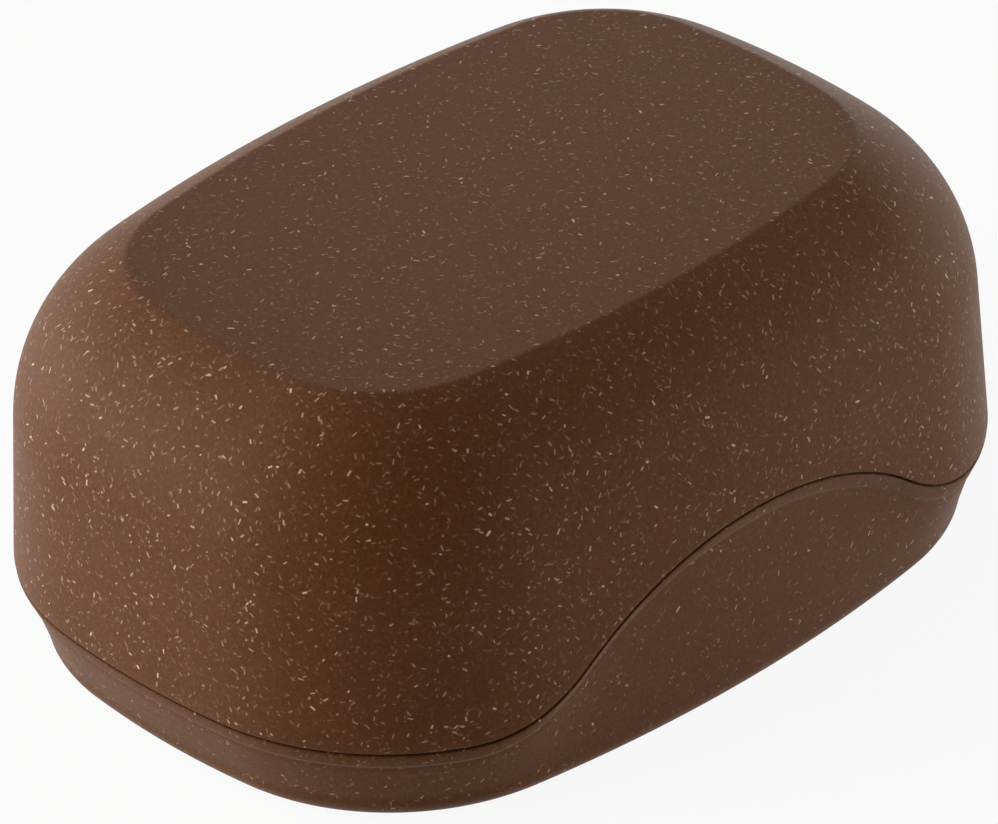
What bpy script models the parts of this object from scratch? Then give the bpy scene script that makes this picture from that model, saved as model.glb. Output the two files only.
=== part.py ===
"""Travel soap box in three pieces: a deep lid, a hull-shaped base and a lift-out drain insert.

The lid and the base are thin lofted shells. They meet along a parting line that runs level
round both ends and sweeps up into an arch over the middle of each long side. The base carries
a band below that line and a tongue above it, which the lid drops over.
"""
import math

import bmesh
import bpy

MM = 0.001

# Outline at the lid's lower edge, as arcs: two sides, two ends and four corners
LENGTH = 105.0 * MM
WIDTH = 78.0 * MM
SIDE_BOW_RADIUS = 177.0 * MM
END_BOW_RADIUS = 105.0 * MM
CORNER_RADIUS = 28.3 * MM

# Lid: drafted wall, round shoulder, flat top with a crease round it
HEIGHT = 45.3 * MM
WALL = 2.0 * MM
WALL_DRAFT = math.tan(math.radians(3.25))
SHOULDER_INSET = 11.6 * MM
SHOULDER_HEIGHT = 17.9 * MM
CREASE_SOFTNESS = 0.7 * MM
EDGE_ROUND = 0.2 * MM

# Parting line
SEAM_LOW = 10.4 * MM
SEAM_HIGH = 23.9 * MM
SEAM_ARCH_RADIUS = 36.6 * MM
SEAM_SWEEP_RADIUS = 21.2 * MM
SEAM_GAP = 0.3 * MM

# Band round the base's top, which leans in downwards, and the small cove from it into the wall
BAND_INSET = 0.1 * MM
BAND_LEAN = 0.65 * MM
BAND_DROP = 2.05 * MM
COVE_INSET = 0.3 * MM
COVE_HEIGHT = 0.6 * MM

# Tongue that stands up inside the lid
TONGUE_HEIGHT = 2.5 * MM
TONGUE_THICKNESS = 1.5 * MM
TONGUE_CLEARANCE = 0.3 * MM
TONGUE_ROUND = 0.35 * MM

# Foot of the base
FOOT_WALL_INSET = 2.95 * MM
FOOT_ROUND = 2.6 * MM
FOOT_RING_WIDTH = 5.0 * MM
FOOT_RECESS = 0.6 * MM
FLOOR_THICKNESS = 1.6 * MM
FLOOR_ROUND = 2.5 * MM

# Drain insert
INSERT_CLEARANCE = 0.5 * MM
INSERT_SEAT_GAP = 0.3 * MM
INSERT_THICKNESS = 1.8 * MM
INSERT_LIP_HEIGHT = 1.2 * MM
INSERT_LIP_WIDTH = 1.8 * MM
INSERT_EDGE_ROUND = 0.3 * MM
PEG_HEIGHT = 3.0 * MM
PEG_RADIUS = 2.6 * MM
PEG_TIP_RADIUS = 2.1 * MM
PEG_SPACING_Y = 34.0 * MM
SLOT_WIDTH = 3.2 * MM
SLOT_PITCH = 9.0 * MM
SLOT_WEB = 7.0 * MM
SLOT_MARGIN = 5.0 * MM
RIDGE_HEIGHT = 0.9 * MM
RIDGE_WIDTH = 2.4 * MM
RIDGE_TOP_WIDTH = 1.2 * MM
RIDGE_MARGIN = 3.4 * MM

# A cutter or a joined piece runs this far past the face it meets
OVERLAP = 0.5 * MM

# Worked out from the sizes above
FLOOR_HEIGHT = FOOT_RECESS + FLOOR_THICKNESS
FLOOR_WALL_INSET = FOOT_WALL_INSET + WALL
SHOULDER_RADIUS = (SHOULDER_INSET ** 2 + SHOULDER_HEIGHT ** 2) / (2 * SHOULDER_INSET)
INSERT_INSET = FLOOR_WALL_INSET + INSERT_CLEARANCE
INSERT_UNDERSIDE = FLOOR_HEIGHT + INSERT_SEAT_GAP + PEG_HEIGHT
INSERT_TOP = INSERT_UNDERSIDE + INSERT_THICKNESS


def lerp(start, end, share):
    return start + (end - start) * share


def corner_arc():
    """Centre of the corner arc that runs smoothly into both bows, and the angles where it does."""
    side_y = WIDTH / 2 - SIDE_BOW_RADIUS
    end_x = LENGTH / 2 - END_BOW_RADIUS
    to_side = SIDE_BOW_RADIUS - CORNER_RADIUS
    to_end = END_BOW_RADIUS - CORNER_RADIUS
    apart = math.hypot(end_x, side_y)
    along = (to_side ** 2 - to_end ** 2 + apart ** 2) / (2 * apart)
    across = math.sqrt(to_side ** 2 - along ** 2)
    unit_x, unit_y = end_x / apart, -side_y / apart
    x = along * unit_x + across * unit_y
    y = side_y + along * unit_y - across * unit_x
    end_angle = math.atan2(y, x - end_x)
    side_angle = math.atan2(y - side_y, x)
    return x, y, end_angle, side_angle


def outline(end_steps, corner_steps, side_steps):
    """Stations round the outline: arc centre, arc radius and outward direction at each one.

    The counts are the steps on half an end, on a corner and on half a side.
    """
    corner_x, corner_y, end_angle, side_angle = corner_arc()
    end_x = LENGTH / 2 - END_BOW_RADIUS
    side_y = WIDTH / 2 - SIDE_BOW_RADIUS
    quarter = []
    for step in range(end_steps):
        quarter.append((end_x, 0.0, END_BOW_RADIUS, end_angle * step / end_steps))
    for step in range(corner_steps):
        angle = lerp(end_angle, side_angle, step / corner_steps)
        quarter.append((corner_x, corner_y, CORNER_RADIUS, angle))
    for step in range(side_steps + 1):
        angle = lerp(side_angle, math.pi / 2, step / side_steps)
        quarter.append((0.0, side_y, SIDE_BOW_RADIUS, angle))
    first = [(x, y, radius, math.cos(a), math.sin(a)) for x, y, radius, a in quarter]
    second = [(-x, y, radius, -c, s) for x, y, radius, c, s in reversed(first[:-1])]
    half = first + second
    return half + [(-x, -y, radius, -c, -s) for x, y, radius, c, s in half[1:-1]]


def place(station, inset):
    """Point of a station that lies a given distance inside the outline."""
    x, y, radius, out_x, out_y = station
    return x + (radius - inset) * out_x, y + (radius - inset) * out_y


def outline_y(x, inset):
    """Half width of the inset outline at a distance x from the middle."""
    corner_x, corner_y, _, side_angle = corner_arc()
    corner = CORNER_RADIUS - inset
    if abs(x) < corner_x + corner * math.cos(side_angle):
        bow = SIDE_BOW_RADIUS - inset
        return WIDTH / 2 - SIDE_BOW_RADIUS + math.sqrt(bow ** 2 - x ** 2)
    return corner_y + math.sqrt(max(corner ** 2 - (abs(x) - corner_x) ** 2, 0.0))


def lid_inset(z, depth=0.0):
    """Inset of the lid's wall at a height, on the surface that lies depth inside the outer one."""
    rise = max(z - (HEIGHT - SHOULDER_HEIGHT), 0.0)
    arc = math.sqrt((SHOULDER_RADIUS - depth) ** 2 - rise ** 2)
    return WALL_DRAFT * (z - SEAM_LOW) + SHOULDER_RADIUS - arc


def seam_height(x):
    """Height of the parting line: an arch over the middle, a sweep each side, then level."""
    arch_z = SEAM_HIGH - SEAM_ARCH_RADIUS
    sweep_z = SEAM_LOW + SEAM_SWEEP_RADIUS
    both = SEAM_ARCH_RADIUS + SEAM_SWEEP_RADIUS
    reach = math.sqrt(both ** 2 - (sweep_z - arch_z) ** 2)
    x = abs(x)
    if x < reach * SEAM_ARCH_RADIUS / both:
        return arch_z + math.sqrt(SEAM_ARCH_RADIUS ** 2 - x ** 2)
    if x < reach:
        return sweep_z - math.sqrt(SEAM_SWEEP_RADIUS ** 2 - (reach - x) ** 2)
    return SEAM_LOW


def station_seam(station):
    """Height of the parting line at a station, read on the lid's outer surface."""
    seam = SEAM_LOW
    for _ in range(4):
        seam = seam_height(place(station, lid_inset(seam))[0])
    return seam


def rounded(inset, z, radius, inward, upward, steps=2):
    """Profile points round a convex edge, from the vertical face to the level one.

    The corner itself is at (inset, z). The material lies inward (1) or outward (-1) of the
    vertical face, and above (1) or below (-1) the level one.
    """
    points = []
    for step in range(steps + 1):
        angle = math.pi / 2 * step / steps
        points.append((inset + inward * radius * (1 - math.cos(angle)),
                       z + upward * radius * (1 - math.sin(angle))))
    return points


def lid_profile(seam):
    """Lid section from the middle of the top, down the outside, round the edge and up inside."""
    wall_steps, inner_steps, crowding = 10, 7, 1.3
    bottom = seam + EDGE_ROUND
    crease_z = HEIGHT - CREASE_SOFTNESS / 2
    ceiling = HEIGHT - WALL
    profile = [(lid_inset(HEIGHT) + CREASE_SOFTNESS, HEIGHT)]
    for step in range(wall_steps):
        z = lerp(crease_z, bottom, (step / wall_steps) ** crowding)
        profile.append((lid_inset(z), z))
    profile += rounded(lid_inset(bottom), seam, EDGE_ROUND, 1, 1)
    inner_edge = rounded(lid_inset(bottom, WALL), seam, EDGE_ROUND, -1, 1, steps=1)
    profile += reversed(inner_edge)
    for step in reversed(range(inner_steps)):
        z = lerp(ceiling, bottom, (step / inner_steps) ** crowding)
        profile.append((lid_inset(z, WALL), z))
    return profile


def base_profile(seam):
    """Base section from the middle of the underside, up the outside, over the tongue and down."""
    foot_steps, cove_steps, floor_steps, inner_steps = 4, 2, 3, 3
    edge = lid_inset(seam)
    ledge = seam - SEAM_GAP
    band = edge + BAND_INSET
    band_foot = band + BAND_LEAN
    band_low = seam - BAND_DROP
    tongue_out = edge + WALL + TONGUE_CLEARANCE
    tongue_in = tongue_out + TONGUE_THICKNESS
    tongue_top = seam + TONGUE_HEIGHT
    ring_inner = FOOT_WALL_INSET + FOOT_ROUND + FOOT_RING_WIDTH
    profile = [(ring_inner + FOOT_RECESS, FOOT_RECESS), (ring_inner, 0.0)]
    for step in range(foot_steps + 1):
        angle = math.pi / 2 * step / foot_steps
        profile.append((FOOT_WALL_INSET + FOOT_ROUND * (1 - math.sin(angle)),
                        FOOT_ROUND * (1 - math.cos(angle))))
    for step in range(cove_steps + 1):
        down = 1 - step / cove_steps
        profile.append((band_foot + EDGE_ROUND / 2 + COVE_INSET * math.sin(down * math.pi / 2),
                        band_low - COVE_HEIGHT * down))
    profile.append((band_foot, band_low + EDGE_ROUND / 2))
    profile += rounded(band, ledge, EDGE_ROUND, 1, -1)
    profile.append((tongue_out, ledge))
    profile += rounded(tongue_out, tongue_top, TONGUE_ROUND, 1, -1, steps=1)
    profile += reversed(rounded(tongue_in, tongue_top, TONGUE_ROUND, -1, -1, steps=1))
    wall_top = tongue_top - TONGUE_ROUND
    wall_low = FLOOR_HEIGHT + FLOOR_ROUND
    for step in range(1, inner_steps + 1):
        share = step / inner_steps
        profile.append((lerp(tongue_in, FLOOR_WALL_INSET, share), lerp(wall_top, wall_low, share)))
    for step in range(1, floor_steps + 1):
        angle = math.pi / 2 * step / floor_steps
        profile.append((FLOOR_WALL_INSET + FLOOR_ROUND * (1 - math.cos(angle)),
                        FLOOR_HEIGHT + FLOOR_ROUND * (1 - math.sin(angle))))
    return profile


def insert_profile(_seam):
    """Insert section from the middle of the underside, up its edge and down inside the lip."""
    lip_top = INSERT_TOP + INSERT_LIP_HEIGHT
    lip_inner = INSERT_INSET + INSERT_LIP_WIDTH
    profile = list(reversed(rounded(INSERT_INSET, INSERT_UNDERSIDE, INSERT_EDGE_ROUND, 1, 1, steps=1)))
    profile += rounded(INSERT_INSET, lip_top, INSERT_EDGE_ROUND, 1, -1, steps=1)
    profile += [(lip_inner - INSERT_EDGE_ROUND, lip_top),
                (lip_inner + INSERT_LIP_HEIGHT / 2, INSERT_TOP)]
    return profile


def loft(name, stations, profile_at, origin_z):
    """Shell grown by extruding its first cap from ring to ring of the profile."""
    sections = [(station, profile_at(station_seam(station))) for station in stations]
    mesh = bmesh.new()
    section_of = mesh.verts.layers.int.new("section")
    cap = mesh.faces.new([mesh.verts.new() for _ in sections])
    for index, vert in enumerate(cap.verts):
        vert[section_of] = index
    for step in range(len(sections[0][1])):
        if step > 0:
            grown = bmesh.ops.extrude_face_region(mesh, geom=[cap, *cap.edges])["geom"]
            cap = next(item for item in grown if isinstance(item, bmesh.types.BMFace))
        for vert in cap.verts:
            station, profile = sections[vert[section_of]]
            inset, z = profile[step]
            vert.co = (*place(station, inset), z - origin_z)
    mesh.verts.layers.int.remove(section_of)
    bmesh.ops.recalc_face_normals(mesh, faces=mesh.faces)
    return finish_mesh(name, mesh)


def finish_mesh(name, mesh):
    data = bpy.data.meshes.new(name)
    mesh.to_mesh(data)
    mesh.free()
    piece = bpy.data.objects.new(name, data)
    bpy.context.collection.objects.link(piece)
    return piece


def slot_columns():
    """Distances of the slots from the middle, as many as fit along the insert."""
    room = LENGTH - 2 * (INSERT_INSET + SLOT_MARGIN) - SLOT_WIDTH
    count = int(room / SLOT_PITCH) + 1
    return [(column - (count - 1) / 2) * SLOT_PITCH for column in range(count)]


def slot_cutter():
    """Round-ended prisms, two to a column, each as long as the outline leaves room for."""
    arc_steps = 5
    radius = SLOT_WIDTH / 2
    low = INSERT_UNDERSIDE - OVERLAP
    tall = INSERT_THICKNESS + RIDGE_HEIGHT + 2 * OVERLAP
    mesh = bmesh.new()
    for x in slot_columns():
        near = SLOT_WEB / 2 + radius
        far = outline_y(abs(x) + radius, INSERT_INSET + SLOT_MARGIN) - radius
        for side in (-1, 1):
            loop = []
            for y, turn in ((far, 0.0), (near, math.pi)):
                for step in range(arc_steps + 1):
                    angle = turn + math.pi * step / arc_steps
                    loop.append((x + radius * math.cos(angle), side * (y + radius * math.sin(angle)), low))
            floor = mesh.faces.new([mesh.verts.new(point) for point in loop])
            grown = bmesh.ops.extrude_face_region(mesh, geom=[floor])["geom"]
            top = [item for item in grown if isinstance(item, bmesh.types.BMVert)]
            bmesh.ops.translate(mesh, verts=top, vec=(0, 0, tall))
    bmesh.ops.recalc_face_normals(mesh, faces=mesh.faces)
    return finish_mesh("slot_cutter", mesh)


def ridge_lines():
    """Distances of the ridges from the middle, one between each two slot columns."""
    columns = slot_columns()
    return [(left + right) / 2 for left, right in zip(columns, columns[1:])]


def ridge_bars():
    """Tapered bars between the slot columns, which hold the soap clear of the water."""
    tall = RIDGE_HEIGHT + OVERLAP
    mesh = bmesh.new()
    for x in ridge_lines():
        reach = outline_y(abs(x) + RIDGE_WIDTH / 2, INSERT_INSET + RIDGE_MARGIN)
        bar = bmesh.ops.create_cube(mesh, size=1.0)["verts"]
        for vert in bar:
            upper = vert.co.z > 0
            width = RIDGE_TOP_WIDTH if upper else RIDGE_WIDTH
            end = reach - (RIDGE_HEIGHT if upper else 0.0)
            vert.co = (x + math.copysign(width / 2, vert.co.x), math.copysign(end, vert.co.y),
                       INSERT_TOP + (RIDGE_HEIGHT if upper else RIDGE_HEIGHT - tall))
    return finish_mesh("ridge_bars", mesh)


def standing_pegs():
    """Four tapered pegs under the outermost ridges, which stand the insert on the base's floor."""
    segments = 16
    tall = PEG_HEIGHT + OVERLAP
    ridges = ridge_lines()
    mesh = bmesh.new()
    for x in (ridges[0], ridges[-1]):
        for y in (-PEG_SPACING_Y / 2, PEG_SPACING_Y / 2):
            peg = bmesh.ops.create_cone(mesh, cap_ends=True, segments=segments, radius1=PEG_TIP_RADIUS,
                                        radius2=PEG_RADIUS, depth=tall)["verts"]
            bmesh.ops.translate(mesh, verts=peg, vec=(x, y, INSERT_UNDERSIDE - PEG_HEIGHT + tall / 2))
    return finish_mesh("standing_pegs", mesh)


def combine(piece, tool, operation):
    """Join or cut a piece with a tool that is itself no part of the model."""
    tool.hide_render = True
    tool.display_type = "WIRE"
    modifier = piece.modifiers.new(tool.name, "BOOLEAN")
    modifier.object = tool
    modifier.operation = operation
    modifier.solver = "EXACT"


def composite(name, colour, roughness):
    """Plastic filled with fine wood fibre, moulded with a satin surface."""
    material = bpy.data.materials.new(name)
    material.use_nodes = True
    shader = material.node_tree.nodes["Principled BSDF"]
    shader.inputs["Base Color"].default_value = colour
    shader.inputs["Roughness"].default_value = roughness
    shader.inputs["Metallic"].default_value = 0.0
    return material


def dress(piece, material):
    piece.data.materials.append(material)
    piece.data.shade_smooth()
    piece.data.set_sharp_from_angle(angle=math.radians(25))


def build():
    for leftover in list(bpy.data.objects):
        bpy.data.objects.remove(leftover, do_unlink=True)

    shell_stations = outline(end_steps=4, corner_steps=15, side_steps=11)
    insert_stations = outline(end_steps=2, corner_steps=8, side_steps=4)

    base = loft("base", shell_stations, base_profile, 0.0)
    dress(base, composite("brown_composite_base", (0.068, 0.035, 0.021, 1.0), 0.38))

    lid = loft("lid", shell_stations, lid_profile, SEAM_LOW)
    lid.location = (0.0, 0.0, SEAM_LOW)
    lid.parent = base
    dress(lid, composite("brown_composite_lid", (0.078, 0.040, 0.023, 1.0), 0.38))

    insert = loft("drain_insert", insert_stations, insert_profile, 0.0)
    insert.parent = base
    combine(insert, ridge_bars(), "UNION")
    combine(insert, standing_pegs(), "UNION")
    combine(insert, slot_cutter(), "DIFFERENCE")
    dress(insert, composite("brown_composite_insert", (0.078, 0.040, 0.023, 1.0), 0.45))


build()
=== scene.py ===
import math

import bmesh
import bpy
from mathutils import Matrix, Vector


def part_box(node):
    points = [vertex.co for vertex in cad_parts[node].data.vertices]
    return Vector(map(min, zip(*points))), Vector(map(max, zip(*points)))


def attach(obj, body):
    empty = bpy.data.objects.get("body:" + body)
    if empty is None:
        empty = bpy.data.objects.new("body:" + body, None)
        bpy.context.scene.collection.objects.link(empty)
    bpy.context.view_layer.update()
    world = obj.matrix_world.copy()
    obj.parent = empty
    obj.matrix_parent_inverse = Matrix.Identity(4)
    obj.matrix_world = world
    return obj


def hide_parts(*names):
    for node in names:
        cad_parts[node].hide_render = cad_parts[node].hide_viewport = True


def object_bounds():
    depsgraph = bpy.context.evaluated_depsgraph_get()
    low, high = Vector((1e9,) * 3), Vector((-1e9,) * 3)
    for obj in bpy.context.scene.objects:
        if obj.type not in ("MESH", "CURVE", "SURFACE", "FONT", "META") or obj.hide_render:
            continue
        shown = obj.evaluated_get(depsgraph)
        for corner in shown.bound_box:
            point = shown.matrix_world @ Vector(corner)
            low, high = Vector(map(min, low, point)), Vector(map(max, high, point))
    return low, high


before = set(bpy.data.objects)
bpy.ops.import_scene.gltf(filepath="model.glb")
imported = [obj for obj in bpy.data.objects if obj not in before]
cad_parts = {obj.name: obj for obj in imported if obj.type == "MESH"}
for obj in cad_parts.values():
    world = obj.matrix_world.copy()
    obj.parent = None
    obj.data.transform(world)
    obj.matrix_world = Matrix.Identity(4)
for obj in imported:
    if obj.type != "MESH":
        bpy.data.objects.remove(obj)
cad_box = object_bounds()

# Base: a shallow shell, injection moulded in plastic filled with ground wood fibre. A narrow band
# under the parting line leans in downwards to a small cove, and the wall leans in to a rounded foot.
# The tongue above the band centres the lid. The outline is eight arcs, the parting line five a side.
MM = 0.001
# The outline is drawn at the lid's lowest edge. Over the middle of each long side the edge is higher,
# and the wall's draft has brought it in a little.
LENGTH = 105.0 * MM
WIDTH = 78.0 * MM
SIDE_BOW = 177.0 * MM
END_BOW = 105.0 * MM
CORNER = 28.3 * MM
HEIGHT = cad_box[1].z
WALL = 2.0 * MM
WALL_DRAFT = math.tan(math.radians(3.25))
SHOULDER_INSET = 11.6 * MM
SHOULDER_HEIGHT = 17.9 * MM
SHOULDER = (SHOULDER_INSET ** 2 + SHOULDER_HEIGHT ** 2) / (2 * SHOULDER_INSET)
SEAM_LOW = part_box("lid")[0].z
SEAM_HIGH = 23.9 * MM
SEAM_ARCH = 36.6 * MM
SEAM_SWEEP = 21.2 * MM
SEAM_GAP = 0.3 * MM
BAND_INSET = 0.1 * MM
BAND_LEAN = 0.65 * MM
BAND_DROP = 2.05 * MM
BAND_ROUND = 0.2 * MM
COVE_INSET = 0.3 * MM
COVE_HEIGHT = 0.6 * MM
TONGUE_HEIGHT = 2.5 * MM
TONGUE_THICKNESS = 1.5 * MM
TONGUE_CLEARANCE = 0.3 * MM
TONGUE_ROUND = 0.35 * MM
FOOT_INSET = 2.95 * MM
FOOT_ROUND = 2.6 * MM
FOOT_RING = 5.0 * MM
FOOT_RECESS = 0.6 * MM
BASE_FLOOR = 2.2 * MM
BASE_FLOOR_ROUND = 2.5 * MM

# Each drift of the brown has its features per mm, the noise where it starts and is full, and its
# colour. Fibres are in mm. Each scatter of them has its offset and its share of the paleness.
BODY_BROWN = "#5f3a1e"
BODY_SHADE = "#58361b"
GRAIN_BROWN = "#523014"
FIBRE_STRAW = "#ccb19f"
BROWN_DRIFTS = ((0.22, 0.35, 0.75, BODY_SHADE), (2.8, 0.36, 0.64, GRAIN_BROWN))
FIBRE_SPACING = 1.05
FIBRE_SHORT = 0.22
FIBRE_LONG = 0.72
FIBRE_THIN = 0.13
FIBRE_THICK = 0.26
FIBRE_SOLID = 0.6
FIBRE_END = 1.2
FIBRE_FALL = 1.33
FIBRE_SCATTERS = ((3.7, 1.0), (11.3, 1.0), (23.9, 0.5))
TOP_PALENESS = 0.82
TOP_FACING = 0.995
SHOULDER_FACING = 0.9
SKIN_ROUGHNESS = 0.6
SKIN_IOR = 1.5
SKIN_TINT = (0.1, 0.1, 0.1, 1.0)
SHEEN_WEIGHT = 0.06
SHEEN_ROUGHNESS = 0.4
GRIT_SCALE = 5.0
GRIT_STRENGTH = 0.04
GRIT_DEPTH = 0.1 * MM
SHARP_ANGLE = math.radians(40)


def lerp(start, end, share):
    return start + (end - start) * share


def corner_arc():
    """Centre of the corner arc, and the angles where it runs into the end bow and the side bow."""
    side_y = WIDTH / 2 - SIDE_BOW
    end_x = LENGTH / 2 - END_BOW
    apart = math.hypot(end_x, side_y)
    along = ((SIDE_BOW - CORNER) ** 2 - (END_BOW - CORNER) ** 2 + apart ** 2) / (2 * apart)
    across = math.sqrt((SIDE_BOW - CORNER) ** 2 - along ** 2)
    x = (along * end_x - across * side_y) / apart
    y = side_y - (along * side_y + across * end_x) / apart
    return x, y, math.atan2(y, x - end_x), math.atan2(y - side_y, x)


def outline(end_steps, corner_steps, side_steps):
    """Stations round the outline, each with its arc's centre and radius and its outward direction."""
    corner_x, corner_y, end_angle, side_angle = corner_arc()
    end_x = LENGTH / 2 - END_BOW
    side_y = WIDTH / 2 - SIDE_BOW
    quarter = [(end_x, 0, END_BOW, lerp(0, end_angle, step / end_steps)) for step in range(end_steps)]
    quarter += [(corner_x, corner_y, CORNER, lerp(end_angle, side_angle, step / corner_steps))
                for step in range(corner_steps)]
    quarter += [(0, side_y, SIDE_BOW, lerp(side_angle, math.pi / 2, step / side_steps))
                for step in range(side_steps + 1)]
    first = [(x, y, radius, math.cos(turn), math.sin(turn)) for x, y, radius, turn in quarter]
    half = first + [(-x, y, radius, -c, s) for x, y, radius, c, s in reversed(first[:-1])]
    return half + [(-x, -y, radius, -c, -s) for x, y, radius, c, s in half[1:-1]]


def place(station, inset):
    """Point of a station that lies a given distance inside the outline."""
    x, y, radius, out_x, out_y = station
    return x + (radius - inset) * out_x, y + (radius - inset) * out_y


def lid_inset(z, depth=0.0):
    """Inset of the lid's wall at a height, on the surface that lies depth inside the outer one."""
    rise = max(z - (HEIGHT - SHOULDER_HEIGHT), 0.0)
    arc = math.sqrt((SHOULDER - depth) ** 2 - rise ** 2)
    return WALL_DRAFT * (z - SEAM_LOW) + SHOULDER - arc


def seam_height(x):
    """Height of the parting line: an arch over the middle, a sweep each side, then level."""
    arch_z = SEAM_HIGH - SEAM_ARCH
    sweep_z = SEAM_LOW + SEAM_SWEEP
    both = SEAM_ARCH + SEAM_SWEEP
    reach = math.sqrt(both ** 2 - (sweep_z - arch_z) ** 2)
    if abs(x) < reach * SEAM_ARCH / both:
        return arch_z + math.sqrt(SEAM_ARCH ** 2 - x ** 2)
    if abs(x) < reach:
        return sweep_z - math.sqrt(SEAM_SWEEP ** 2 - (reach - abs(x)) ** 2)
    return SEAM_LOW


def station_seam(station):
    """Height of the parting line at a station, read on the lid's outer surface.

    The surface's inset depends on the height in turn, so the two are brought together in a few rounds.
    """
    rounds = 4
    seam = SEAM_LOW
    for _ in range(rounds):
        seam = seam_height(place(station, lid_inset(seam))[0])
    return seam


def rounded(inset, z, radius, inward, upward, steps=4):
    """Profile points round an edge at (inset, z), from its upright face to its level one."""
    turns = [math.pi / 2 * step / steps for step in range(steps + 1)]
    return [(inset + inward * radius * (1 - math.cos(turn)), z + upward * radius * (1 - math.sin(turn)))
            for turn in turns]


def loft(name, stations, profile_at):
    """Closed shell: a cap over the first ring, extruded from ring to ring along the profile."""
    sections = [(station, profile_at(station_seam(station))) for station in stations]
    mesh = bmesh.new()
    section_of = mesh.verts.layers.int.new("section")
    cap = mesh.faces.new([mesh.verts.new() for _ in sections])
    for index, vert in enumerate(cap.verts):
        vert[section_of] = index
    for step in range(len(sections[0][1])):
        if step > 0:
            grown = bmesh.ops.extrude_face_region(mesh, geom=[cap, *cap.edges])["geom"]
            cap = next(item for item in grown if isinstance(item, bmesh.types.BMFace))
        for vert in cap.verts:
            station, profile = sections[vert[section_of]]
            inset, z = profile[step]
            vert.co = (*place(station, inset), z)
    mesh.verts.layers.int.remove(section_of)
    bmesh.ops.recalc_face_normals(mesh, faces=mesh.faces)
    data = bpy.data.meshes.new(name)
    mesh.to_mesh(data)
    mesh.free()
    piece = bpy.data.objects.new(name, data)
    bpy.context.collection.objects.link(piece)
    return piece


def base_profile(seam):
    """Base section from the middle of the underside, up the outside, over the tongue and down."""
    foot_steps, wall_steps, cove_steps, floor_steps, inner_steps = 10, 6, 8, 8, 8
    edge = lid_inset(seam)
    ledge = seam - SEAM_GAP
    band = edge + BAND_INSET
    band_low = seam - BAND_DROP
    tongue_out = edge + WALL + TONGUE_CLEARANCE
    tongue_in = tongue_out + TONGUE_THICKNESS
    tongue_top = seam + TONGUE_HEIGHT
    ring_inner = FOOT_INSET + FOOT_ROUND + FOOT_RING
    profile = [(ring_inner + FOOT_RECESS, FOOT_RECESS), (ring_inner, 0.0)]
    for step in range(foot_steps + 1):
        turn = math.pi / 2 * step / foot_steps
        profile.append((FOOT_INSET + FOOT_ROUND * (1 - math.sin(turn)),
                        FOOT_ROUND * (1 - math.cos(turn))))
    cove = band + BAND_LEAN + BAND_ROUND
    wall_top = (cove + COVE_INSET, band_low - COVE_HEIGHT)
    for step in range(1, wall_steps):
        share = step / wall_steps
        profile.append((lerp(FOOT_INSET, wall_top[0], share), lerp(FOOT_ROUND, wall_top[1], share)))
    for step in range(cove_steps):
        down = 1 - step / cove_steps
        profile.append((cove + COVE_INSET * math.sin(down * math.pi / 2), band_low - COVE_HEIGHT * down))
    profile += reversed(rounded(band + BAND_LEAN, band_low, BAND_ROUND, 1, 1))
    profile += rounded(band, ledge, BAND_ROUND, 1, -1)
    profile.append((tongue_out, ledge))
    profile += rounded(tongue_out, tongue_top, TONGUE_ROUND, 1, -1)
    profile += reversed(rounded(tongue_in, tongue_top, TONGUE_ROUND, -1, -1))
    inner_low = (FOOT_INSET + WALL, BASE_FLOOR + BASE_FLOOR_ROUND)
    for step in range(1, inner_steps):
        share = step / inner_steps
        profile.append((lerp(tongue_in, inner_low[0], share),
                        lerp(tongue_top - TONGUE_ROUND, inner_low[1], share)))
    profile += rounded(inner_low[0], BASE_FLOOR, BASE_FLOOR_ROUND, 1, 1, floor_steps)
    return profile


def to_linear(hex_colour):
    """Linear colour, with full alpha, of an sRGB hex value."""
    parts = [int(hex_colour[start:start + 2], 16) / 255 for start in (1, 3, 5)]
    linear = [part / 12.92 if part <= 0.04045 else ((part + 0.055) / 1.055) ** 2.4 for part in parts]
    return (*linear, 1.0)


def add_node(tree, kind, sockets, **settings):
    """Adds a node. Sockets maps each input to its constant, or to the output that feeds it."""
    node = tree.nodes.new(kind)
    for name, value in settings.items():
        setattr(node, name, value)
    for socket, value in sockets.items():
        if isinstance(value, bpy.types.NodeSocket):
            tree.links.new(value, node.inputs[socket])
        else:
            node.inputs[socket].default_value = value
    return node


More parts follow.
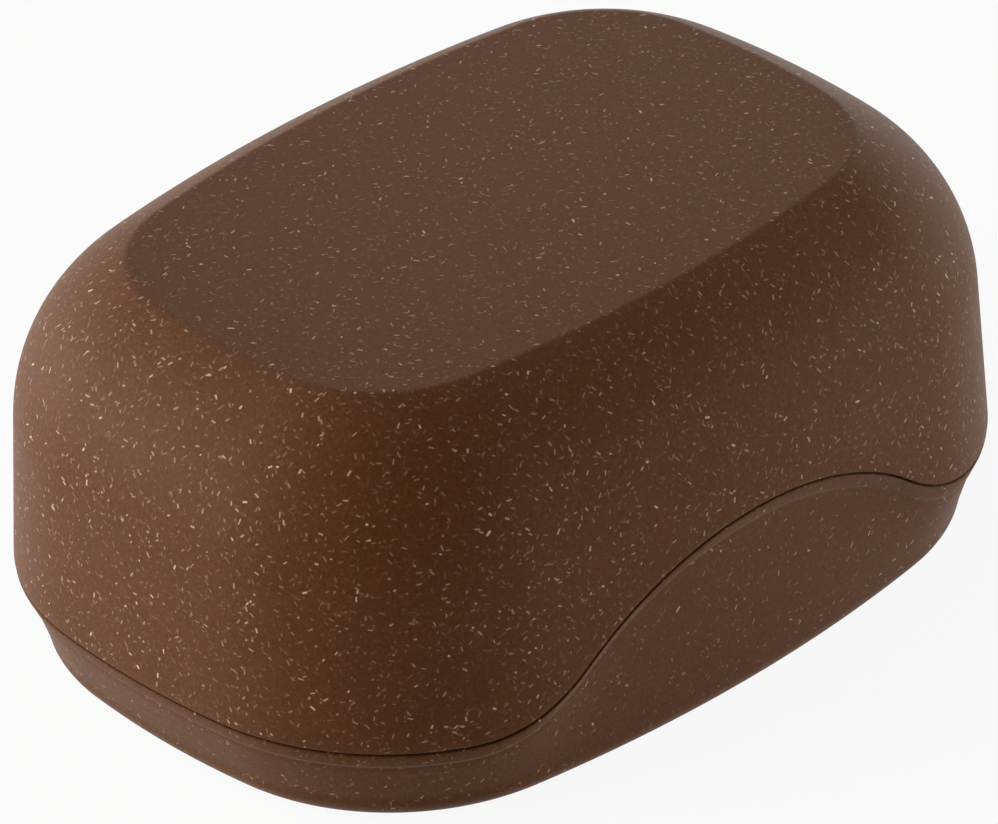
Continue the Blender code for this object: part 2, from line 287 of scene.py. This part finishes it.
def fibre_layer(tree, point, normal, depth, paleness, seed):
    """Strength of a scatter of fibres that lie flat in the surface, one to a cell, in millimetres.

    A cell's first random colour turns its fibre, and its second sets the fibre's length and how pale
    it is: most are faint and a few are plain. Only a cell that is centred near the surface shows one.
    """
    math_node, vector_node, ranged = "ShaderNodeMath", "ShaderNodeVectorMath", "ShaderNodeMapRange"
    moved = add_node(tree, vector_node, {0: point, 1: (seed, seed * 2, seed * 3)}).outputs[0]
    cells = add_node(tree, "ShaderNodeTexVoronoi", {"Vector": moved, "Scale": 1 / FIBRE_SPACING}).outputs
    rel = add_node(tree, vector_node, {0: moved, 1: cells["Position"]}, operation="SUBTRACT").outputs[0]
    lean = add_node(tree, vector_node, {0: cells["Color"], 1: (0.5, 0.5, 0.5)},
                    operation="SUBTRACT").outputs[0]
    side = add_node(tree, vector_node, {0: lean, 1: normal}, operation="CROSS_PRODUCT").outputs[0]
    lay = add_node(tree, vector_node, {0: side}, operation="NORMALIZE").outputs[0]
    over = add_node(tree, vector_node, {0: lay, 1: normal}, operation="CROSS_PRODUCT").outputs[0]
    draw = add_node(tree, "ShaderNodeTexWhiteNoise", {"Vector": cells["Position"]}).outputs["Color"]
    draws = add_node(tree, "ShaderNodeSeparateColor", {0: draw}).outputs
    reach = add_node(tree, ranged, {0: draws[0], 3: FIBRE_SHORT / 2, 4: FIBRE_LONG / 2}).outputs[0]
    girth = add_node(tree, ranged, {0: draws[1], 3: FIBRE_THIN / 2, 4: FIBRE_THICK / 2}).outputs[0]
    strength = add_node(tree, math_node, {0: draws[2], 1: math.exp(-1 / paleness)},
                        operation="LOGARITHM").outputs[0]
    strength = add_node(tree, math_node, {0: strength, 1: FIBRE_FALL}, operation="POWER").outputs[0]
    for direction, limit in ((lay, reach), (over, girth), (normal, depth)):
        away = add_node(tree, vector_node, {0: rel, 1: direction},
                        operation="DOT_PRODUCT").outputs["Value"]
        away = add_node(tree, math_node, {0: away}, operation="ABSOLUTE").outputs[0]
        share = add_node(tree, math_node, {0: away, 1: limit}, operation="DIVIDE").outputs[0]
        inside = add_node(tree, ranged, {0: share, 1: FIBRE_SOLID, 2: FIBRE_END, 3: 1.0, 4: 0.0},
                          interpolation_type="SMOOTHSTEP").outputs[0]
        strength = add_node(tree, math_node, {0: strength, 1: inside}, operation="MULTIPLY").outputs[0]
    return strength


def fibre_composite(name, paleness, depth):
    """Matte moulded composite: brown plastic with ground wood fibre that shows as pale flecks."""
    material = bpy.data.materials.new(name)
    material.use_nodes = True
    tree = material.node_tree
    shader = tree.nodes["Principled BSDF"]
    place_node = add_node(tree, "ShaderNodeTexCoord", {})
    point = add_node(tree, "ShaderNodeVectorMath", {0: place_node.outputs["Object"], "Scale": 1 / MM},
                     operation="SCALE").outputs[0]
    normal = place_node.outputs["Normal"]

    # The melt isn't mixed quite evenly, so the brown drifts over some millimetres, and the finest of
    # the ground wood gives it a dark grain
    colour = to_linear(BODY_BROWN)
    for scale, low, high, shade in BROWN_DRIFTS:
        drift = add_node(tree, "ShaderNodeTexNoise",
                         {"Vector": point, "Scale": scale, "Detail": 2.0}).outputs[0]
        drift = add_node(tree, "ShaderNodeMapRange", {0: drift, 1: low, 2: high}).outputs[0]
        colour = add_node(tree, "ShaderNodeMix", {0: drift, 6: colour, 7: to_linear(shade)},
                          data_type="RGBA").outputs[2]

    # Two scatters of fibres and one of fainter, deeper ones. The flat top shows them all more faintly,
    # as the melt meets the mould square on there
    facing = add_node(tree, "ShaderNodeSeparateXYZ", {0: normal}).outputs["Z"]
    skin = add_node(tree, "ShaderNodeMapRange",
                    {0: facing, 1: SHOULDER_FACING, 2: TOP_FACING, 3: 1.0, 4: TOP_PALENESS}).outputs[0]
    for seed, part in FIBRE_SCATTERS:
        layer = fibre_layer(tree, point, normal, depth, paleness * part, seed)
        share = add_node(tree, "ShaderNodeMath", {0: layer, 1: skin}, operation="MULTIPLY").outputs[0]
        colour = add_node(tree, "ShaderNodeMix", {0: share, 6: colour, 7: to_linear(FIBRE_STRAW)},
                          data_type="RGBA").outputs[2]
    tree.links.new(colour, shader.inputs["Base Color"])

    # The mould is finely blasted, which leaves a matte skin with a texture too fine to make out. It
    # hardly shines where it is seen square on, and is paler towards its outline, so the tint is dark
    grit = add_node(tree, "ShaderNodeTexNoise",
                    {"Vector": point, "Scale": GRIT_SCALE, "Detail": 1.0}).outputs[0]
    bump = add_node(tree, "ShaderNodeBump",
                    {"Height": grit, "Strength": GRIT_STRENGTH, "Distance": GRIT_DEPTH})
    tree.links.new(bump.outputs[0], shader.inputs["Normal"])
    shader.inputs["Roughness"].default_value = SKIN_ROUGHNESS
    shader.inputs["IOR"].default_value = SKIN_IOR
    shader.inputs["Specular Tint"].default_value = SKIN_TINT
    shader.inputs["Sheen Weight"].default_value = SHEEN_WEIGHT
    shader.inputs["Sheen Roughness"].default_value = SHEEN_ROUGHNESS
    return material


def dress(piece, material, slot_name, body, *nodes):
    """Smooths a piece up to its real edges, gives it its material, and ties it to the frame."""
    piece.data.materials.append(material)
    piece.data.shade_smooth()
    piece.data.set_sharp_from_angle(angle=SHARP_ANGLE)
    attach(piece, body)
    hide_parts(*nodes)


shell_stations = outline(end_steps=8, corner_steps=30, side_steps=30)
base = loft("base_shell", shell_stations, base_profile)
dress(base, fibre_composite("wood_filled_plastic_base", paleness=0.17, depth=0.25),
      "base_composite", "base", "base")

# Drain insert: a loose plate of the same composite that keeps the soap out of the water. It has a
# low lip, slots that follow the outline, ridges between them and four pegs that stand on the
# floor of the base. It is moulded in one piece and lifts out.
INSERT_CLEARANCE = 0.5 * MM
INSERT_INSET = FOOT_INSET + WALL + INSERT_CLEARANCE
INSERT_ROUND = 0.3 * MM
SOFT_EDGE = 0.2 * MM
PEG_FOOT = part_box("drain_insert")[0].z
PEG_HEIGHT = 3.0 * MM
PEG_RADIUS = 2.6 * MM
PEG_TIP_RADIUS = 2.1 * MM
PEG_SPACING = 34.0 * MM
PLATE_THICKNESS = 1.8 * MM
PLATE_LOW = PEG_FOOT + PEG_HEIGHT
PLATE_TOP = PLATE_LOW + PLATE_THICKNESS
LIP_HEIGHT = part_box("drain_insert")[1].z - PLATE_TOP
LIP_WIDTH = 1.8 * MM
SLOT_WIDTH = 3.2 * MM
SLOT_PITCH = 9.0 * MM
SLOT_WEB = 7.0 * MM
SLOT_MARGIN = 5.0 * MM
RIDGE_HEIGHT = 0.9 * MM
RIDGE_WIDTH = 2.4 * MM
RIDGE_TOP_WIDTH = 1.2 * MM
RIDGE_MARGIN = 3.4 * MM
OVERLAP = 0.5 * MM


def outline_y(x, inset):
    """Half width of the inset outline at a distance x from the middle."""
    corner_x, corner_y, _, side_angle = corner_arc()
    corner = CORNER - inset
    if abs(x) < corner_x + corner * math.cos(side_angle):
        return WIDTH / 2 - SIDE_BOW + math.sqrt((SIDE_BOW - inset) ** 2 - x ** 2)
    return corner_y + math.sqrt(max(corner ** 2 - (abs(x) - corner_x) ** 2, 0.0))


def insert_profile(_seam):
    """Insert section from the middle of the underside, up its edge and down inside the lip."""
    lip_top = PLATE_TOP + LIP_HEIGHT
    lip_inner = INSERT_INSET + LIP_WIDTH
    profile = list(reversed(rounded(INSERT_INSET, PLATE_LOW, INSERT_ROUND, 1, 1)))
    profile += rounded(INSERT_INSET, lip_top, INSERT_ROUND, 1, -1)
    profile += reversed(rounded(lip_inner, lip_top, INSERT_ROUND, -1, -1, 3))
    profile.append((lip_inner + LIP_HEIGHT / 2, PLATE_TOP))
    return profile


def shape_piece(piece, mesh, operation):
    """Joins a mesh to a piece, or cuts it away, and leaves nothing else behind."""
    data = bpy.data.meshes.new("tool")
    mesh.to_mesh(data)
    mesh.free()
    tool = bpy.data.objects.new("tool", data)
    bpy.context.collection.objects.link(tool)
    modifier = piece.modifiers.new("shape", "BOOLEAN")
    modifier.object = tool
    modifier.operation = operation
    modifier.solver = "EXACT"
    bpy.context.view_layer.update()
    shaped = bpy.data.meshes.new_from_object(piece.evaluated_get(bpy.context.evaluated_depsgraph_get()))
    piece.modifiers.remove(modifier)
    piece.data = shaped
    bpy.data.objects.remove(tool, do_unlink=True)


insert = loft("drain_plate", outline(end_steps=5, corner_steps=18, side_steps=12), insert_profile)
slot_room = LENGTH - 2 * (INSERT_INSET + SLOT_MARGIN) - SLOT_WIDTH
slot_count = int(slot_room / SLOT_PITCH) + 1
slot_lines = [(column - (slot_count - 1) / 2) * SLOT_PITCH for column in range(slot_count)]
ridge_lines = [(left + right) / 2 for left, right in zip(slot_lines, slot_lines[1:])]

ridges = bmesh.new()
for x in ridge_lines:
    reach = outline_y(abs(x) + RIDGE_WIDTH / 2, INSERT_INSET + RIDGE_MARGIN)
    for vert in bmesh.ops.create_cube(ridges, size=1.0)["verts"]:
        upper = vert.co.z > 0
        width = RIDGE_TOP_WIDTH if upper else RIDGE_WIDTH
        end = reach - (RIDGE_HEIGHT if upper else 0.0)
        vert.co = (x + math.copysign(width / 2, vert.co.x), math.copysign(end, vert.co.y),
                   PLATE_TOP + (RIDGE_HEIGHT if upper else -OVERLAP))
shape_piece(insert, ridges, "UNION")

pegs = bmesh.new()
peg_segments = 32
for x in (ridge_lines[0], ridge_lines[-1]):
    for y in (-PEG_SPACING / 2, PEG_SPACING / 2):
        middle = Matrix.Translation((x, y, PLATE_LOW + (OVERLAP - PEG_HEIGHT) / 2))
        bmesh.ops.create_cone(pegs, cap_ends=True, segments=peg_segments, radius1=PEG_TIP_RADIUS,
                              radius2=PEG_RADIUS, depth=PEG_HEIGHT + OVERLAP, matrix=middle)
shape_piece(insert, pegs, "UNION")

slots = bmesh.new()
slot_segments = 24
for x in slot_lines:
    near = SLOT_WEB / 2 + SLOT_WIDTH / 2
    far = outline_y(abs(x) + SLOT_WIDTH / 2, INSERT_INSET + SLOT_MARGIN) - SLOT_WIDTH / 2
    for low_y, high_y in ((near, far), (-far, -near)):
        start = Matrix.Translation((x, low_y, PLATE_LOW - OVERLAP))
        half_turn = Matrix.Rotation(math.pi / slot_segments, 4, "Z")
        loop = bmesh.ops.create_circle(slots, cap_ends=True, radius=SLOT_WIDTH / 2,
                                       segments=slot_segments, matrix=start @ half_turn)["verts"]
        ahead = [vert for vert in loop if vert.co.y > low_y]
        bmesh.ops.translate(slots, verts=ahead, vec=(0, high_y - low_y, 0))
        grown = bmesh.ops.extrude_face_region(slots, geom=list(loop[0].link_faces))["geom"]
        risen = [item for item in grown if isinstance(item, bmesh.types.BMVert)]
        bmesh.ops.translate(slots, verts=risen, vec=(0, 0, PLATE_THICKNESS + RIDGE_HEIGHT + 2 * OVERLAP))
bmesh.ops.recalc_face_normals(slots, faces=slots.faces)
shape_piece(insert, slots, "DIFFERENCE")

soft_edges = insert.modifiers.new("moulded_edges", "BEVEL")
soft_edges.width = SOFT_EDGE
soft_edges.segments = 2
soft_edges.limit_method = "ANGLE"
soft_edges.angle_limit = SHARP_ANGLE
dress(insert, fibre_composite("wood_filled_plastic_insert", paleness=0.2, depth=0.39),
      "insert_composite", "drain_insert", "drain_insert")

# Lid: the deep shell of the same composite, with a drafted wall, a round shoulder and a flat top.
# Its top meets the shoulder in a soft crease, and its lower edge is lightly rounded where it meets
# the base's band across a narrow gap. It lifts straight off the tongue.
EDGE_ROUND = 0.2 * MM
CREASE_ROUND = 1.6 * MM


def lid_profile(seam):
    """Lid section from the middle of the top, down the outside, round the edge and up inside."""
    wall_steps, inner_steps, crease_steps, crowding = 44, 24, 6, 1.25
    bottom = seam + EDGE_ROUND
    ceiling = HEIGHT - WALL
    slope = math.asin(SHOULDER_HEIGHT / SHOULDER)
    half = CREASE_ROUND * math.tan((math.pi / 2 - slope) / 2)
    crease_x = lid_inset(HEIGHT)
    turn_x = crease_x + half
    profile = []
    for step in range(crease_steps + 1):
        turn = (math.pi / 2 - slope) * step / crease_steps
        profile.append((turn_x - CREASE_ROUND * math.sin(turn),
                        HEIGHT - CREASE_ROUND * (1 - math.cos(turn))))
    start = profile[-1][1]
    for step in range(1, wall_steps):
        z = lerp(start, bottom, (step / wall_steps) ** crowding)
        profile.append((lid_inset(z), z))
    profile += rounded(lid_inset(bottom), seam, EDGE_ROUND, 1, 1)
    profile += reversed(rounded(lid_inset(bottom, WALL), seam, EDGE_ROUND, -1, 1))
    for step in reversed(range(inner_steps)):
        z = lerp(ceiling, bottom, (step / inner_steps) ** crowding)
        profile.append((lid_inset(z, WALL), z))
    return profile


lid = loft("lid_shell", shell_stations, lid_profile)
dress(lid, fibre_composite("wood_filled_plastic_lid", paleness=0.22, depth=0.4),
      "lid_composite", "lid", "lid")

# Floor: a plain pale table top, wide enough to fill the picture from every side. It lies a hair
# under the foot, so that the two flat faces don't flicker through each other.
FLOOR_SPAN = 8.0
FLOOR_WHITE = "#e8e8e6"
FLOOR_WHITENESS = 0.92
FLOOR_ROUGHNESS = 0.9
FLOOR_DROP = 0.05 * MM


def looked_at(tree):
    """One where the camera sees a surface straight, in a reflection or through something clear."""
    ray = add_node(tree, "ShaderNodeLightPath", {}).outputs
    looked = ray["Is Camera Ray"]
    for kind in ("Is Glossy Ray", "Is Transmission Ray"):
        looked = add_node(tree, "ShaderNodeMath", {0: looked, 1: ray[kind]},
                          operation="MAXIMUM").outputs[0]
    return looked


floor_mesh = bmesh.new()
bmesh.ops.create_grid(floor_mesh, x_segments=1, y_segments=1, size=FLOOR_SPAN / 2,
                      matrix=Matrix.Translation((0, 0, -FLOOR_DROP)))
floor_data = bpy.data.meshes.new("floor")
floor_mesh.to_mesh(floor_data)
floor_mesh.free()
floor = bpy.data.objects.new("floor", floor_data)
bpy.context.collection.objects.link(floor)
floor_material = bpy.data.materials.new("pale_table")
floor_material.use_nodes = True
floor_tree = floor_material.node_tree
floor_shader = floor_tree.nodes["Principled BSDF"]
floor_shader.inputs["Base Color"].default_value = to_linear(FLOOR_WHITE)
floor_shader.inputs["Roughness"].default_value = FLOOR_ROUGHNESS
white = add_node(floor_tree, "ShaderNodeEmission", {"Strength": 1.0}).outputs[0]
seen = looked_at(floor_tree)
whiteness = add_node(floor_tree, "ShaderNodeMath", {0: seen, 1: FLOOR_WHITENESS},
                     operation="MULTIPLY").outputs[0]
blend = add_node(floor_tree, "ShaderNodeMixShader", {0: whiteness, 1: floor_shader.outputs[0], 2: white})
floor_tree.links.new(blend.outputs[0], floor_tree.nodes["Material Output"].inputs["Surface"])
floor_data.materials.append(floor_material)

# Background: plain white to the camera and in reflections, and a soft even light on everything else.
SKY_LEVEL = 0.05

world = bpy.data.worlds.new("studio")
bpy.context.scene.world = world
world.use_nodes = True
sky = world.node_tree
sky.nodes["Background"].inputs["Color"].default_value = (1.0, 1.0, 1.0, 1.0)
level = add_node(sky, "ShaderNodeMapRange", {0: looked_at(sky), 3: SKY_LEVEL, 4: 1.0}).outputs[0]
sky.links.new(level, sky.nodes["Background"].inputs["Strength"])

# Lamps: a large soft box and a low strip beyond the left end light that end, and leave the near
# corner dark. A soft box high over them lights the top. Low strips on the right graze the long side
# and the right end, and one of them draws the pale line along the far edge.
LAMP_WARMTH = (1.03, 1.0, 0.94)
LAMP_DISTANCE = 0.9
LAMP_CENTRE = Vector((0.0, 0.0, 20.0 * MM))
# Name, azimuth and elevation in degrees, width and height in metres, radiance
LAMPS = (("key", -135, 25, 1.2, 0.8, 2.1),
         ("key_strip", -135, 10, 1.0, 0.3, 6.8),
         ("top", -135, 65, 1.0, 1.0, 0.55),
         ("side_strip", 35, 5, 1.2, 0.14, 7.0),
         ("end_strip", 60, 5, 0.8, 0.14, 2.6),
         ("far_strip", 105, 10, 0.8, 0.3, 1.3))

for lamp_name, azimuth, elevation, width, height, radiance in LAMPS:
    softbox = bpy.data.lights.new(lamp_name, "AREA")
    softbox.shape = "RECTANGLE"
    softbox.size = width
    softbox.size_y = height
    softbox.energy = radiance * math.pi * width * height
    softbox.color = LAMP_WARMTH
    lamp = bpy.data.objects.new(lamp_name, softbox)
    bpy.context.collection.objects.link(lamp)
    around, up = math.radians(azimuth), math.radians(elevation)
    towards = Vector((math.sin(around) * math.cos(up), -math.cos(around) * math.cos(up), math.sin(up)))
    lamp.location = towards * LAMP_DISTANCE + LAMP_CENTRE
    lamp.rotation_euler = (-towards).to_track_quat("-Z", "Y").to_euler()

# Camera: a long lens from the photograph's side, turned very slightly about its own axis.
AIM = Vector((-0.4 * MM, 0.0, 18.8 * MM))
CAMERA_AZIMUTH = math.radians(-42.71)
CAMERA_ELEVATION = math.radians(32.60)
CAMERA_ROLL = math.radians(-2.28)
CAMERA_DISTANCE = 1029.4 * MM
CAMERA_LENS = 353.2
CAMERA_REACH = 50.0

camera = bpy.data.objects.new("camera", bpy.data.cameras.new("camera"))
bpy.context.collection.objects.link(camera)
back = Vector((math.sin(CAMERA_AZIMUTH) * math.cos(CAMERA_ELEVATION),
               -math.cos(CAMERA_AZIMUTH) * math.cos(CAMERA_ELEVATION),
               math.sin(CAMERA_ELEVATION)))
camera.matrix_world = (Matrix.Translation(AIM + back * CAMERA_DISTANCE)
                       @ (-back).to_track_quat("-Z", "Y").to_matrix().to_4x4()
                       @ Matrix.Rotation(CAMERA_ROLL, 4, "Z"))
camera.data.lens = CAMERA_LENS
camera.data.clip_end = CAMERA_REACH
bpy.context.scene.camera = camera
bpy.context.scene.view_settings.view_transform = "Standard"
